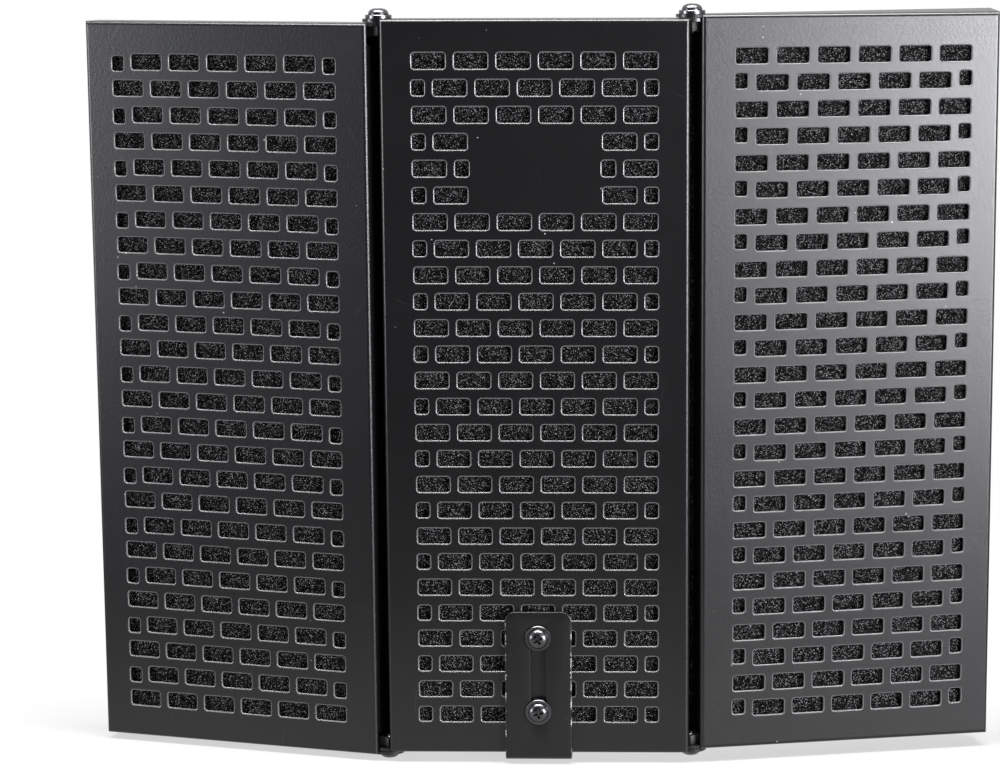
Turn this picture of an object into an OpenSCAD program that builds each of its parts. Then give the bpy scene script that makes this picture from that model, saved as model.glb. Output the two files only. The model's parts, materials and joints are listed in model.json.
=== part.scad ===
// Folding microphone isolation shield: three perforated steel trays with foam
// pads, joined by screw pivots, on a slotted bracket with a stand bush.
// Frame: X across the shield, Y from the perforated face towards the microphone,
// Z up. The origin is the mouth of the stand thread under the bush.

/* [Panels] */
// Width of each panel tray
panel_w = 125.5; // [110:0.5:140]
// Height of each panel tray
panel_h = 304.8; // [300:0.1:310]
// Depth of the trays, front face to flange edge
tray_d = 14.5; // [14:0.1:16]
// Thickness of the sheet steel
sheet_t = 1.2; // [1:0.1:1.5]
// Outer radius of the sheet bends
bend_r = 1.6; // [1.5:0.1:2.4]

/* [Perforation] */
// Width of a full brick hole
brick_w = 13.4; // [12:0.1:14]
// Height of a full brick hole
brick_h = 6.4; // [5:0.1:7]
// Width of a half brick hole
half_w = 5.1; // [4:0.1:6]
// Height of a half brick hole
half_h = 6.1; // [5:0.1:7]
// Corner chamfer of the brick holes
brick_corner = 0.5; // [0.2:0.1:1]
// Spacing of the bricks along a row
pitch_x = 17.17; // [16:0.01:18]
// Spacing of the rows
pitch_z = 10.86; // [10:0.01:11]
// Number of rows of bricks
brick_rows = 26; // [10:2:26]
// Distance of the half bricks from the middle of the pattern
half_x = 47.3; // [46:0.1:48.5]
// How far the side panels' pattern lies away from the hinge
side_shift = 0.9; // [0:0.1:1.5]
// How far the side panels' half bricks are punched off their rows
side_half_rise = 0.75; // [0:0.05:1]
// Width of the plain field near the top of the centre panel
plain_w = 54; // [40:1:60]
// Height of the plain field near the top of the centre panel
plain_h = 30.5; // [20:0.5:32]
// Height of the plain field's middle above the panel's middle
plain_z = 92.3; // [80:0.1:100]

/* [Hinges] */
// Distance of the pivots beyond the edge of the centre panel
centre_pivot = 0.75; // [0.5:0.05:1]
// Distance of the pivots beyond the edge of a side panel
side_pivot = 2.4; // [2.2:0.1:2.6]
// Depth of the pivots behind the perforated face
pivot_depth = 8.1; // [8:0.1:8.3]
// Radius of the hinge ears
ear_r = 6.6; // [6:0.1:6.6]
// Thickness of the friction washers between the ears
friction_t = 0.4; // [0.3:0.1:0.6]
// Fold of the left panel from flat, in degrees
fold_left = 16.3; // [0:0.1:18]
// Fold of the right panel from flat, in degrees
fold_right = 12.7; // [0:0.1:18]

/* [Foam] */
// Depth of the back of the foam behind the perforated face
foam_back = 26.5; // [22:0.5:30]
// Gap between the foam and the sheet
foam_gap = 0.3; // [0.2:0.1:1]
// Half angle left free between two pads at a hinge, in degrees
foam_free_angle = 9; // [9:0.5:12]

/* [Fasteners] */
// Radius of the screw shanks
shank_r = 2.1; // [2:0.05:2.2]
// Radius of the pan heads
head_r = 4.2; // [4:0.1:4.4]
// Height of the pan heads
head_h = 2.6; // [2.4:0.1:2.8]
// Radius of the washers under the heads
washer_r = 5.4; // [5:0.1:5.6]
// Thickness of the washers under the heads
washer_t = 1.1; // [0.8:0.1:1.2]
// Thickness of the washers on top of the hinges
hinge_washer_t = 1.6; // [0.8:0.1:1.8]
// Width across the flats of the nuts
nut_flats = 8.7; // [8:0.1:8.8]
// Height of the nuts
nut_h = 4; // [3:0.1:4.5]

/* [Bracket] */
// Width of the bracket strip
bracket_w = 27.7; // [26:0.1:30]
// Thickness of the bracket strip
bracket_t = 2.5; // [2:0.1:2.6]
// Height of the top of the bracket above the bottom of the centre panel
bracket_rise = 61; // [58:0.5:61]
// Corner radius at the top of the bracket
bracket_corner = 4; // [3:0.5:6]
// Width of the height slot
slot_w = 6.4; // [6:0.1:7]
// Length of the height slot, end to end
slot_len = 41.3; // [40.5:0.1:42]
// Height of the lower bracket screw above the bottom of the centre panel
screw_rise = 18.4; // [18:0.1:19]
// Distance between the bracket screws
screw_gap = 31.5; // [31:0.1:32]

/* [Stand mount] */
// Distance of the stand thread behind the perforated face
stand_reach = 62; // [58:0.5:64]
// Travel of the stand bush each way along the bracket leg
stand_travel = 15; // [10:0.5:15]
// Radius of the bush's outer thread
bush_r = 7.94; // [7.9:0.01:8]
// Radius of the bush's stand thread, at its crests
bore_r = 4; // [3.9:0.05:4.3]
// Radius of the flange under the bush
flange_r = 12; // [11:0.5:13]
// Height of the bush above its flange's underside
bush_h = 20; // [18:0.5:24]
// Height of the lock ring
ring_h = 6; // [5:0.5:7]
// Number of grip flutes round the lock ring
flutes = 16; // [13:1:20]

/* [Hidden] */
$fn = 48;

half_panel = panel_h / 2;
stagger = sheet_t + friction_t;
panel_z = half_panel + stagger + head_h;
pivot_x = panel_w / 2 + centre_pivot;
pivot_y = pivot_depth - stand_reach;
running_gap = 0.05;
hole_r = shank_r + running_gap;
leg_gap = 0.1;
leg_top = panel_z - half_panel - leg_gap;
leg_bottom = leg_top - bracket_t;
bracket_face = -stand_reach - running_gap;
bracket_top = panel_z - half_panel + bracket_rise;
low_screw_z = panel_z - half_panel + screw_rise;
bracket_bend = 3;
leg_slot_r = bush_r + 0.3;
leg_margin = 8;
stand_washer_t = 1;
leg_slot_len = 2 * (leg_slot_r + stand_travel);
leg_end = leg_slot_len / 2 + leg_margin;
relief_h = 9;
relief_w = 7.5;
foam_inset = 1;
strap_clear = 7;
groove_r = bush_r - 0.6;
groove_h = 1;
ring_z = leg_top + stand_washer_t + running_gap;
nut_pocket_r = head_r + 2;
nut_pocket_h = sheet_t + nut_h + 3;
flute_r = 1.2;
flute_out = 0.4;
cutter_h = 100;
head_edge = 0.8;
recess_w = 0.9;
recess_deep = 1.2;
bracket_out = bracket_t + running_gap;
stack_h = 2 * sheet_t + friction_t;
hinge_shank = stack_h + nut_h + 1;
steel = "#26272a";
zinc = "#1d1e20";
foam_grey = "#17181a";
nylon = "#1c1c1e";

// ---- places ----

module at_centre() {
    translate([0, -stand_reach, panel_z]) children();
}

// side is 1 for the right panel and -1 for the left
module at_side(side, fold) {
    translate([side * pivot_x, pivot_y, panel_z + side * stagger])
        rotate([0, 0, side * fold])
            translate([side * (side_pivot + panel_w / 2), -pivot_depth, 0])
                children();
}

// ---- perforated trays ----

// outline across a tray, its front edges rounded
module front_outline(w, d, r) {
    translate([-w / 2, r]) square([w, d - r]);
    translate([-w / 2 + r, 0]) square([w - 2 * r, d]);
    for (side = [-1, 1])
        translate([side * (w / 2 - r), r]) circle(r);
}

// block that is rounded along its four front edges
module front_block(w, h, d, r) {
    intersection() {
        translate([0, 0, -h / 2]) linear_extrude(h) front_outline(w, d, r);
        translate([-w / 2, 0, 0]) rotate([90, 0, 90]) linear_extrude(w)
            mirror([1, -1]) front_outline(h, d, r);
    }
}

// flat hinge ear on a top or bottom flange, round about its pivot
// x_pivot may be negative; z is the height of the ear's middle
module ear(x_pivot, z) {
    side = sign(x_pivot);
    neck = abs(x_pivot) - panel_w / 2 + bend_r + sheet_t;
    translate([x_pivot, pivot_depth, z - sheet_t / 2]) {
        cylinder(r = ear_r, h = sheet_t);
        translate([side > 0 ? -neck : 0, -ear_r, 0]) cube([neck, 2 * ear_r, sheet_t]);
    }
}

// space cut out of a tray's hinge wall, for the neighbour's ear and the nut
module hinge_relief(side, end) {
    depth = bend_r + sheet_t;
    translate([side > 0 ? panel_w / 2 - depth : -panel_w / 2 - 1,
               sheet_t + running_gap,
               end > 0 ? half_panel - relief_h : -half_panel + sheet_t])
        cube([depth + 1, tray_d, relief_h - sheet_t]);
}

// bare tray: sides lists the edges that have a hinge, reach is how far out its pivots lie
module tray(sides, reach) {
    difference() {
        union() {
            difference() {
                front_block(panel_w, panel_h, tray_d, bend_r);
                translate([0, sheet_t, 0])
                    front_block(panel_w - 2 * sheet_t, panel_h - 2 * sheet_t,
                                tray_d, bend_r - sheet_t);
                for (side = sides) {
                    hinge_relief(side, 1);
                    hinge_relief(side, -1);
                }
            }
            for (side = sides, end = [-1, 1])
                ear(side * (panel_w / 2 + reach), end * (half_panel - sheet_t / 2));
        }
        for (side = sides, end = [-1, 1])
            translate([side * (panel_w / 2 + reach), pivot_depth,
                       end * (half_panel - sheet_t / 2) - sheet_t])
                cylinder(r = hole_r, h = 2 * sheet_t);
    }
}

module brick(x, z, w, h) {
    c = brick_corner;
    translate([x, z]) polygon([
        [-w / 2 + c, -h / 2], [w / 2 - c, -h / 2], [w / 2, -h / 2 + c], [w / 2, h / 2 - c],
        [w / 2 - c, h / 2], [-w / 2 + c, h / 2], [-w / 2, h / 2 - c], [-w / 2, -h / 2 + c]]);
}

// rows alternate between six full bricks, and five full bricks with a half at each end
module brick_row(row, rise) {
    z = ((brick_rows - 1) / 2 - row) * pitch_z;
    if (row % 2 == 0)
        for (i = [0:5]) brick((i - 2.5) * pitch_x, z, brick_w, brick_h);
    else {
        for (i = [0:4]) brick((i - 2) * pitch_x, z, brick_w, brick_h);
        for (side = [-1, 1]) brick(side * half_x, z + rise, half_w, half_h);
    }
}

module side_pattern() {
    translate([side_shift, 0])
        for (row = [0:brick_rows - 1]) brick_row(row, side_half_rise);
}

module centre_pattern() {
    difference() {
        for (row = [0:brick_rows - 1]) brick_row(row, 0);
        translate([-plain_w / 2, plain_z - plain_h / 2]) square([plain_w, plain_h]);
        translate([-strap_clear, -half_panel])
            square([2 * strap_clear, bracket_rise - pitch_z / 2]);
    }
}

// cuts a flat pattern through the front of a tray
module punch() {
    translate([0, 2 * sheet_t, 0]) rotate([90, 0, 0]) linear_extrude(3 * sheet_t) children();
}

module centre_tray() {
    color(steel) at_centre() difference() {
        tray([-1, 1], centre_pivot);
        punch() centre_pattern();
        for (z = [0, screw_gap])
            translate([0, -1, screw_rise + z - half_panel]) rotate([-90, 0, 0])
                cylinder(r = hole_r, h = 2 * bend_r);
    }
}

// right-hand panel; the left one is the same part turned half a turn
module side_tray() {
    difference() {
        tray([-1], side_pivot);
        punch() side_pattern();
    }
}

module left_tray() {
    color(steel) at_side(-1, fold_left) rotate([0, 180, 0]) side_tray();
}

module right_tray() {
    color(steel) at_side(1, fold_right) side_tray();
}

// ---- foam pads ----

// plan of a pad: inside the tray first, then over the flange edges; the edge beside
// a hinge slopes back so that two pads just meet when the shield is folded most
module foam_plan(left_reach, right_reach) {
    inner = panel_w / 2 - sheet_t - foam_gap;
    flange = tray_d + foam_gap;
    translate([-inner, sheet_t + foam_gap]) square([2 * inner, flange]);
    polygon([
        [-foam_edge(left_reach, flange), flange],
        [foam_edge(right_reach, flange), flange],
        [foam_edge(right_reach, foam_back), foam_back],
        [-foam_edge(left_reach, foam_back), foam_back]]);
}

// distance from the panel's middle to a pad's edge at a depth; reach 0 has no hinge
function foam_edge(reach, depth) = panel_w / 2 - (reach > 0
    ? max(0, (depth - pivot_depth) * tan(foam_free_angle) + foam_gap - reach)
    : foam_inset);

// space at a pad's corner for the ears and nuts of a hinge
module foam_relief(side, end) {
    translate([side > 0 ? panel_w / 2 - relief_w : -panel_w / 2 - 1,
               0,
               end > 0 ? half_panel - relief_h : -half_panel - 1])
        cube([relief_w + 1, tray_d + 1, relief_h + 1]);
}

module foam_pad(left_reach, right_reach) {
    foam_h = panel_h - 2 * sheet_t - 2 * foam_gap;
    difference() {
        translate([0, 0, -foam_h / 2]) linear_extrude(foam_h)
            foam_plan(left_reach, right_reach);
        for (end = [-1, 1]) {
            if (left_reach > 0) foam_relief(-1, end);
            if (right_reach > 0) foam_relief(1, end);
        }
    }
}

module centre_foam() {
    color(foam_grey) at_centre() difference() {
        foam_pad(centre_pivot, centre_pivot);
        for (z = [0, screw_gap])
            translate([0, 0, screw_rise + z - half_panel]) rotate([-90, 0, 0])
                cylinder(r = nut_pocket_r, h = nut_pocket_h);
    }
}

module left_foam() {
    color(foam_grey) at_side(-1, fold_left) foam_pad(0, side_pivot);
}

module right_foam() {
    color(foam_grey) at_side(1, fold_right) foam_pad(side_pivot, 0);
}

// ---- hinge hardware ----

// pan head on z = 0, pointing up
module pan_head() {
    dome = head_h - head_edge;
    dome_r = (head_r * head_r + dome * dome) / (2 * dome);
    intersection() {
        cylinder(r = head_r, h = head_h);
        translate([0, 0, head_h - dome_r]) sphere(dome_r);
    }
}

// screw with its head's underside on z = 0 and its shank pointing down
module screw(shank) {
    difference() {
        union() {
            pan_head();
            translate([0, 0, -shank]) cylinder(r = shank_r, h = shank);
        }
        for (turn = [45, 135])
            rotate([0, 0, turn])
                translate([-head_r / 2, -recess_w / 2, head_h - recess_deep])
                    cube([head_r, recess_w, 2 * recess_deep]);
    }
}

module washer(outer, bore, thickness) {
    difference() {
        cylinder(r = outer, h = thickness);
        translate([0, 0, -1]) cylinder(r = bore, h = thickness + 2);
    }
}

module nut() {
    difference() {
        cylinder(r = nut_flats / sqrt(3), h = nut_h, $fn = 6);
        translate([0, 0, -1]) cylinder(r = hole_r, h = nut_h + 2);
    }
}

// height above the centre panel's middle of the outermost ear's face: end is 1 at the
// top hinges and -1 at the bottom ones
function stack_z(side, end) = end * (half_panel + (side * end > 0 ? stagger : 0));

// puts a child at a hinge, on the outer face of its ears, pointing outwards
module at_hinge(side, end) {
    translate([side * pivot_x, pivot_y, panel_z + stack_z(side, end)])
        mirror([0, 0, end > 0 ? 0 : 1]) children();
}

// only the top screw of each hinge has a washer
module hinge_screws(side) {
    color(zinc) {
        at_hinge(side, 1) translate([0, 0, hinge_washer_t])
            screw(hinge_shank + hinge_washer_t);
        at_hinge(side, -1) screw(hinge_shank);
    }
}

module hinge_washer(side) {
    color(zinc) at_hinge(side, 1) washer(washer_r, hole_r, hinge_washer_t);
}

module friction_washers(side) {
    color(nylon) for (end = [-1, 1])
        at_hinge(side, end) translate([0, 0, -sheet_t - friction_t])
            washer(washer_r, hole_r, friction_t);
}

module hinge_nuts(side) {
    color(zinc) for (end = [-1, 1])
        at_hinge(side, end) translate([0, 0, -stack_h - nut_h]) nut();
}

// ---- bracket ----

// side profile of the bracket, Y across and Z up
module bracket_profile() {
    wall = bracket_face - bracket_t;
    r = bracket_bend;
    translate([wall, leg_bottom + r]) square([bracket_t, bracket_top - leg_bottom - r]);
    translate([wall + r, leg_bottom]) square([leg_end - wall - r, bracket_t]);
    translate([wall + r, leg_bottom + r]) intersection() {
        difference() {
            circle(r);
            circle(r - bracket_t);
        }
        translate([-r, -r]) square(r);
    }
}

// cutter that rounds the corner of a plate; the corner is at the origin, the plate
// lies towards -X and -Y
module corner_cutter(r) {
    translate([-r, -r, -cutter_h / 2]) difference() {
        cube([r + 1, r + 1, cutter_h]);
        cylinder(r = r, h = cutter_h);
    }
}

// cutter for a slot with round ends along X, as deep as depth each way
module slot_cutter(length, r, depth) {
    half = length / 2 - r;
    for (end = [-half, half]) translate([end, 0, -depth]) cylinder(r = r, h = 2 * depth);
    translate([-half, -r, -depth]) cube([2 * half, 2 * r, 2 * depth]);
}

module mount_bracket() {
    color(steel) difference() {
        translate([-bracket_w / 2, 0, 0]) rotate([90, 0, 90]) linear_extrude(bracket_w)
            bracket_profile();
        for (side = [0, 1]) mirror([side, 0, 0]) {
            translate([bracket_w / 2, bracket_face, bracket_top]) rotate([90, 0, 0])
                corner_cutter(bracket_corner);
            translate([bracket_w / 2, leg_end, leg_bottom]) corner_cutter(bracket_corner);
        }
        translate([0, bracket_face, low_screw_z + screw_gap / 2]) rotate([90, 90, 0])
            slot_cutter(slot_len, slot_w / 2, 2 * bracket_t);
        rotate([0, 0, 90]) slot_cutter(leg_slot_len, leg_slot_r, leg_top + 1);
    }
}

// puts a child at each bracket screw, pointing away from the panel
module at_bracket_screws() {
    for (z = [0, screw_gap])
        translate([0, -stand_reach, low_screw_z + z]) rotate([90, 0, 0]) children();
}

module bracket_screws() {
    color(zinc) at_bracket_screws()
        translate([0, 0, bracket_out + washer_t + running_gap])
            screw(bracket_out + washer_t + sheet_t + nut_h);
}

module bracket_washers() {
    color(zinc) at_bracket_screws() translate([0, 0, bracket_out + running_gap])
        washer(washer_r, hole_r, washer_t);
}

module bracket_nuts() {
    color(zinc) at_bracket_screws() translate([0, 0, -sheet_t - nut_h]) nut();
}

// ---- stand mount ----

// a groove above the lock ring parts the microphone thread from the clamping thread
module stand_bush() {
    color(zinc) difference() {
        union() {
            cylinder(r = flange_r, h = leg_bottom);
            cylinder(r = bush_r, h = ring_z + ring_h);
            cylinder(r = groove_r, h = bush_h);
            translate([0, 0, ring_z + ring_h + groove_h])
                cylinder(r = bush_r, h = bush_h - ring_z - ring_h - groove_h);
        }
        translate([0, 0, -1]) cylinder(r = bore_r, h = bush_h + 2);
    }
}

module stand_washer() {
    color(zinc) translate([0, 0, leg_top]) washer(flange_r, bush_r + running_gap, stand_washer_t);
}

module lock_ring() {
    color(steel) translate([0, 0, ring_z]) difference() {
        washer(flange_r, bush_r + running_gap, ring_h);
        for (i = [1:flutes])
            rotate([0, 0, i * 360 / flutes]) translate([flange_r + flute_out, 0, -1])
                cylinder(r = flute_r, h = ring_h + 2);
    }
}

centre_tray();
left_tray();
right_tray();
centre_foam();
left_foam();
right_foam();
hinge_screws(-1);  // left_hinge_screws
hinge_screws(1);  // right_hinge_screws
hinge_washer(-1);  // left_hinge_washer
hinge_washer(1);  // right_hinge_washer
friction_washers(-1);  // left_friction_washers
friction_washers(1);  // right_friction_washers
hinge_nuts(-1);  // left_hinge_nuts
hinge_nuts(1);  // right_hinge_nuts
mount_bracket();
bracket_screws();
bracket_washers();
bracket_nuts();
stand_bush();
stand_washer();
lock_ring();
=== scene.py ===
import json
import math

import bmesh
import bpy
from mathutils import Matrix, Vector


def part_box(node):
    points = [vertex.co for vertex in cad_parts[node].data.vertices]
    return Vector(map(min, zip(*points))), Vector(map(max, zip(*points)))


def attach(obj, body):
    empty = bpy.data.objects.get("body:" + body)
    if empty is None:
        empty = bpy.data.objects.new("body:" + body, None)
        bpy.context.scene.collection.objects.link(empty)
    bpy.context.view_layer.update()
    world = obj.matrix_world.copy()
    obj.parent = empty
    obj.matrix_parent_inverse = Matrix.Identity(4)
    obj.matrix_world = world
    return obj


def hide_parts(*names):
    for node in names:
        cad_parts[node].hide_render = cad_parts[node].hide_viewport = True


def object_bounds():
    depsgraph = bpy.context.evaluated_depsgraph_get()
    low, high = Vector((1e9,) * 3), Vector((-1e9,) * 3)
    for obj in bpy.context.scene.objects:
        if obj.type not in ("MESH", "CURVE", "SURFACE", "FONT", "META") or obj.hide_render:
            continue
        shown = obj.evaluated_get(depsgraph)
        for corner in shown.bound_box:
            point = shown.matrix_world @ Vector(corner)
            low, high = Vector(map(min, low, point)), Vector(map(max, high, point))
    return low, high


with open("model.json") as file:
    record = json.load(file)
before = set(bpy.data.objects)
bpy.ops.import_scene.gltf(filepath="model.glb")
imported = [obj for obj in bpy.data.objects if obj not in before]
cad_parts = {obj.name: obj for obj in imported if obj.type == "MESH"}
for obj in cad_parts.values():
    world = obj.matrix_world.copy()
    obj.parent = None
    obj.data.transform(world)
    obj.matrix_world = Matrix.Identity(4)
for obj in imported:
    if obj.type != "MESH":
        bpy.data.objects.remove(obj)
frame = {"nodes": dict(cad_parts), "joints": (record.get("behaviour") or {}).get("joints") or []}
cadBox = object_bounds()
print("frame loaded")

toMetres = Matrix.Scale(0.001, 4)
toMillimetres = Matrix.Scale(1000, 4)


# ---- camera, floor and light ----

viewPoint = {
    "place": (0.0568, -1.3008, 0.3507),
    "pitch": 10.16,       # degrees below the horizon
    "turn": 1.403,        # degrees to the left
    "roll": -0.173,
    "lens": 110.0,
    "shift": (-0.1013, 0.0744),
}


def makeCamera():
    data = bpy.data.cameras.new("viewCamera")
    data.lens = viewPoint["lens"]
    data.sensor_width = 36
    data.shift_x, data.shift_y = viewPoint["shift"]
    data.clip_end = 100
    camera = bpy.data.objects.new("viewCamera", data)
    bpy.context.scene.collection.objects.link(camera)
    tilt = Matrix.Rotation(math.radians(90 - viewPoint["pitch"]), 4, "X")
    turn = Matrix.Rotation(math.radians(viewPoint["turn"]), 4, "Z")
    roll = Matrix.Rotation(math.radians(viewPoint["roll"]), 4, "Z")
    camera.matrix_world = Matrix.Translation(viewPoint["place"]) @ turn @ tilt @ roll
    bpy.context.scene.camera = camera


studio = {
    "floorSize": 60,
    "floorShade": (0.32, 0.32, 0.325, 1),
    "floorPlain": (0.35, 0.75),   # metres from the shield where it turns plain white
    "floorPlainNear": 0.6,        # how plain it already is near the shield
    "floorGlow": (0.15, 0.50),    # the near floor as gloss sees it, fading out
    "floorGlowPower": 0.75,
    "floorBehind": (0.0, 0.5),    # depth behind the origin where gloss sees it turn white
    "skyBehind": 1.0,     # strength of the white surround behind the shield
    "skyFront": 0.0,      # and of the dim side behind the camera
    "skyFade": (-0.75, 0.1),
    "lights": {
        # name: place, aimed at, width, height, power, colour
        "rightBox": ((1.242, -1.188, 0.246), (0, -0.03, 0.16), 0.6, 0.5, 45, (0.96, 0.96, 1.0)),
        "rightFill": ((0.894, -1.461, 0.367), (0, -0.03, 0.16), 0.5, 0.5, 3.2, (0.97, 0.97, 1.0)),
        "leftBox": ((-1.51, -0.8, 0.29), (0, -0.03, 0.16), 0.5, 0.5, 15, (0.94, 0.95, 1.0)),
        "topBox": ((0.0, -0.25, 1.6), (0, 0, 0.1), 1.6, 0.5, 90, (1.0, 1.0, 1.0)),
    },
}


def makeFloor():
    bm = bmesh.new()
    bmesh.ops.create_grid(bm, x_segments=1, y_segments=1, size=studio["floorSize"] / 2)
    mesh = bpy.data.meshes.new("floor")
    bm.to_mesh(mesh)
    bm.free()
    floor = bpy.data.objects.new("floor", mesh)
    bpy.context.scene.collection.objects.link(floor)
    floor.location.z = cadBox[0].z
    material = bpy.data.materials.new("paleFloor")
    material.use_nodes = True
    nodes, links = material.node_tree.nodes, material.node_tree.links
    nodes.clear()
    lit = nodes.new("ShaderNodeBsdfDiffuse")
    lit.inputs["Color"].default_value = studio["floorShade"]
    where = nodes.new("ShaderNodeTexCoord")
    length = nodes.new("ShaderNodeVectorMath")
    length.operation = "LENGTH"
    links.new(where.outputs["Object"], length.inputs[0])
    white = nodes.new("ShaderNodeEmission")
    glow = nodes.new("ShaderNodeEmission")
    split = nodes.new("ShaderNodeSeparateXYZ")
    links.new(where.outputs["Object"], split.inputs[0])
    brighter = nodes.new("ShaderNodeMath")
    brighter.operation = "MAXIMUM"
    fades = []
    for source, span, start, end in (
            (length.outputs["Value"], studio["floorPlain"], studio["floorPlainNear"], 1),
            (length.outputs["Value"], studio["floorGlow"], studio["floorGlowPower"], 0),
            (split.outputs["Y"], studio["floorBehind"], 0, 1)):
        fade = nodes.new("ShaderNodeMapRange")
        fade.interpolation_type = "SMOOTHSTEP"
        fade.inputs["From Min"].default_value = span[0]
        fade.inputs["From Max"].default_value = span[1]
        fade.inputs["To Min"].default_value = start
        fade.inputs["To Max"].default_value = end
        links.new(source, fade.inputs["Value"])
        fades.append(fade)
    links.new(fades[1].outputs[0], brighter.inputs[0])
    links.new(fades[2].outputs[0], brighter.inputs[1])
    links.new(brighter.outputs[0], glow.inputs["Strength"])
    path = nodes.new("ShaderNodeLightPath")
    plain = nodes.new("ShaderNodeMixShader")
    mix = nodes.new("ShaderNodeMixShader")
    out = nodes.new("ShaderNodeOutputMaterial")
    links.new(fades[0].outputs[0], plain.inputs[0])
    links.new(lit.outputs[0], plain.inputs[1])
    links.new(white.outputs[0], plain.inputs[2])
    links.new(path.outputs["Is Glossy Ray"], mix.inputs[0])
    links.new(plain.outputs[0], mix.inputs[1])
    links.new(glow.outputs[0], mix.inputs[2])
    links.new(mix.outputs[0], out.inputs["Surface"])
    mesh.materials.append(material)


def makeWorld():
    world = bpy.data.worlds.new("studio")
    bpy.context.scene.world = world
    world.use_nodes = True
    nodes, links = world.node_tree.nodes, world.node_tree.links
    nodes.clear()
    where = nodes.new("ShaderNodeTexCoord")
    split = nodes.new("ShaderNodeSeparateXYZ")
    fade = nodes.new("ShaderNodeMapRange")
    fade.interpolation_type = "SMOOTHSTEP"
    fade.inputs["From Min"].default_value = studio["skyFade"][0]
    fade.inputs["From Max"].default_value = studio["skyFade"][1]
    fade.inputs["To Min"].default_value = studio["skyFront"]
    fade.inputs["To Max"].default_value = studio["skyBehind"]
    path = nodes.new("ShaderNodeLightPath")
    lit = nodes.new("ShaderNodeBackground")
    plain = nodes.new("ShaderNodeBackground")
    mix = nodes.new("ShaderNodeMixShader")
    out = nodes.new("ShaderNodeOutputWorld")
    links.new(where.outputs["Generated"], split.inputs[0])
    links.new(split.outputs["Y"], fade.inputs["Value"])
    links.new(fade.outputs[0], lit.inputs["Strength"])
    links.new(path.outputs["Is Camera Ray"], mix.inputs[0])
    links.new(lit.outputs[0], mix.inputs[1])
    links.new(plain.outputs[0], mix.inputs[2])
    links.new(mix.outputs[0], out.inputs["Surface"])
    lit.inputs["Color"].default_value = (1, 1, 1, 1)
    plain.inputs["Color"].default_value = (1, 1, 1, 1)


def makeLights():
    for name, (place, target, width, height, power, colour) in studio["lights"].items():
        data = bpy.data.lights.new(name, "AREA")
        data.shape = "RECTANGLE"
        data.size = width
        data.size_y = height
        data.energy = power
        data.color = colour
        light = bpy.data.objects.new(name, data)
        bpy.context.scene.collection.objects.link(light)
        light.location = place
        aim = Vector(target) - Vector(place)
        light.rotation_euler = aim.to_track_quat("-Z", "Y").to_euler()


makeCamera()
makeFloor()
makeWorld()
makeLights()
bpy.context.scene.view_settings.view_transform = "Standard"
print("studio ready")


# ---- shader groups ----

def newGroup(name, inputs, outputs):
    # inputs and outputs: name to (socket type, default)
    group = bpy.data.node_groups.new(name, "ShaderNodeTree")
    for label, (kind, value) in inputs.items():
        made = group.interface.new_socket(label, in_out="INPUT", socket_type=kind)
        if value is not None:
            made.default_value = value
    for label, kind in outputs.items():
        group.interface.new_socket(label, in_out="OUTPUT", socket_type=kind)
    start = group.nodes.new("NodeGroupInput")
    end = group.nodes.new("NodeGroupOutput")
    return group, start, end


def addNode(tree, kind, settings=None, **values):
    node = tree.nodes.new("ShaderNode" + kind)
    for key, value in (settings or {}).items():
        setattr(node, key, value)
    for key, value in values.items():
        node.inputs[key].default_value = value
    return node


def math2(tree, operation, first, second):
    node = addNode(tree, "Math", {"operation": operation})
    for slotIndex, value in enumerate((first, second)):
        if isinstance(value, (int, float)):
            node.inputs[slotIndex].default_value = value
        else:
            tree.links.new(value, node.inputs[slotIndex])
    return node.outputs[0]


def ramp(tree, value, low, high):
    node = addNode(tree, "MapRange", {"interpolation_type": "SMOOTHSTEP"})
    node.inputs["From Min"].default_value = low
    node.inputs["From Max"].default_value = high
    tree.links.new(value, node.inputs["Value"])
    return node.outputs[0]


def noise(tree, where, scale, detail=2.0, rough=0.5):
    node = addNode(tree, "TexNoise")
    node.inputs["Detail"].default_value = detail
    node.inputs["Roughness"].default_value = rough
    tree.links.new(where, node.inputs["Vector"])
    if isinstance(scale, (int, float)):
        node.inputs["Scale"].default_value = scale
    else:
        tree.links.new(scale, node.inputs["Scale"])
    return node.outputs["Fac"]


def cells(tree, where, scale, feature="F1"):
    node = addNode(tree, "TexVoronoi", {"feature": feature})
    tree.links.new(where, node.inputs["Vector"])
    if isinstance(scale, (int, float)):
        node.inputs["Scale"].default_value = scale
    else:
        tree.links.new(scale, node.inputs["Scale"])
    return node


vector = "NodeSocketVector"
number = "NodeSocketFloat"


coatGrain = {
    # size of the noise per metre, detail, roughness of the noise
    "peel": (900, 2, 0.5),
    "grit": (3200, 1, 0.5),
    "wave": (22, 1, 0.4),
    "broadPatch": (60, 3, 0.6),
    "finePatch": (700, 2, 0.6),
    "peelDepth": 0.012,
    "gritDepth": 0.004,
    "broadShare": 0.6,
}


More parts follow.
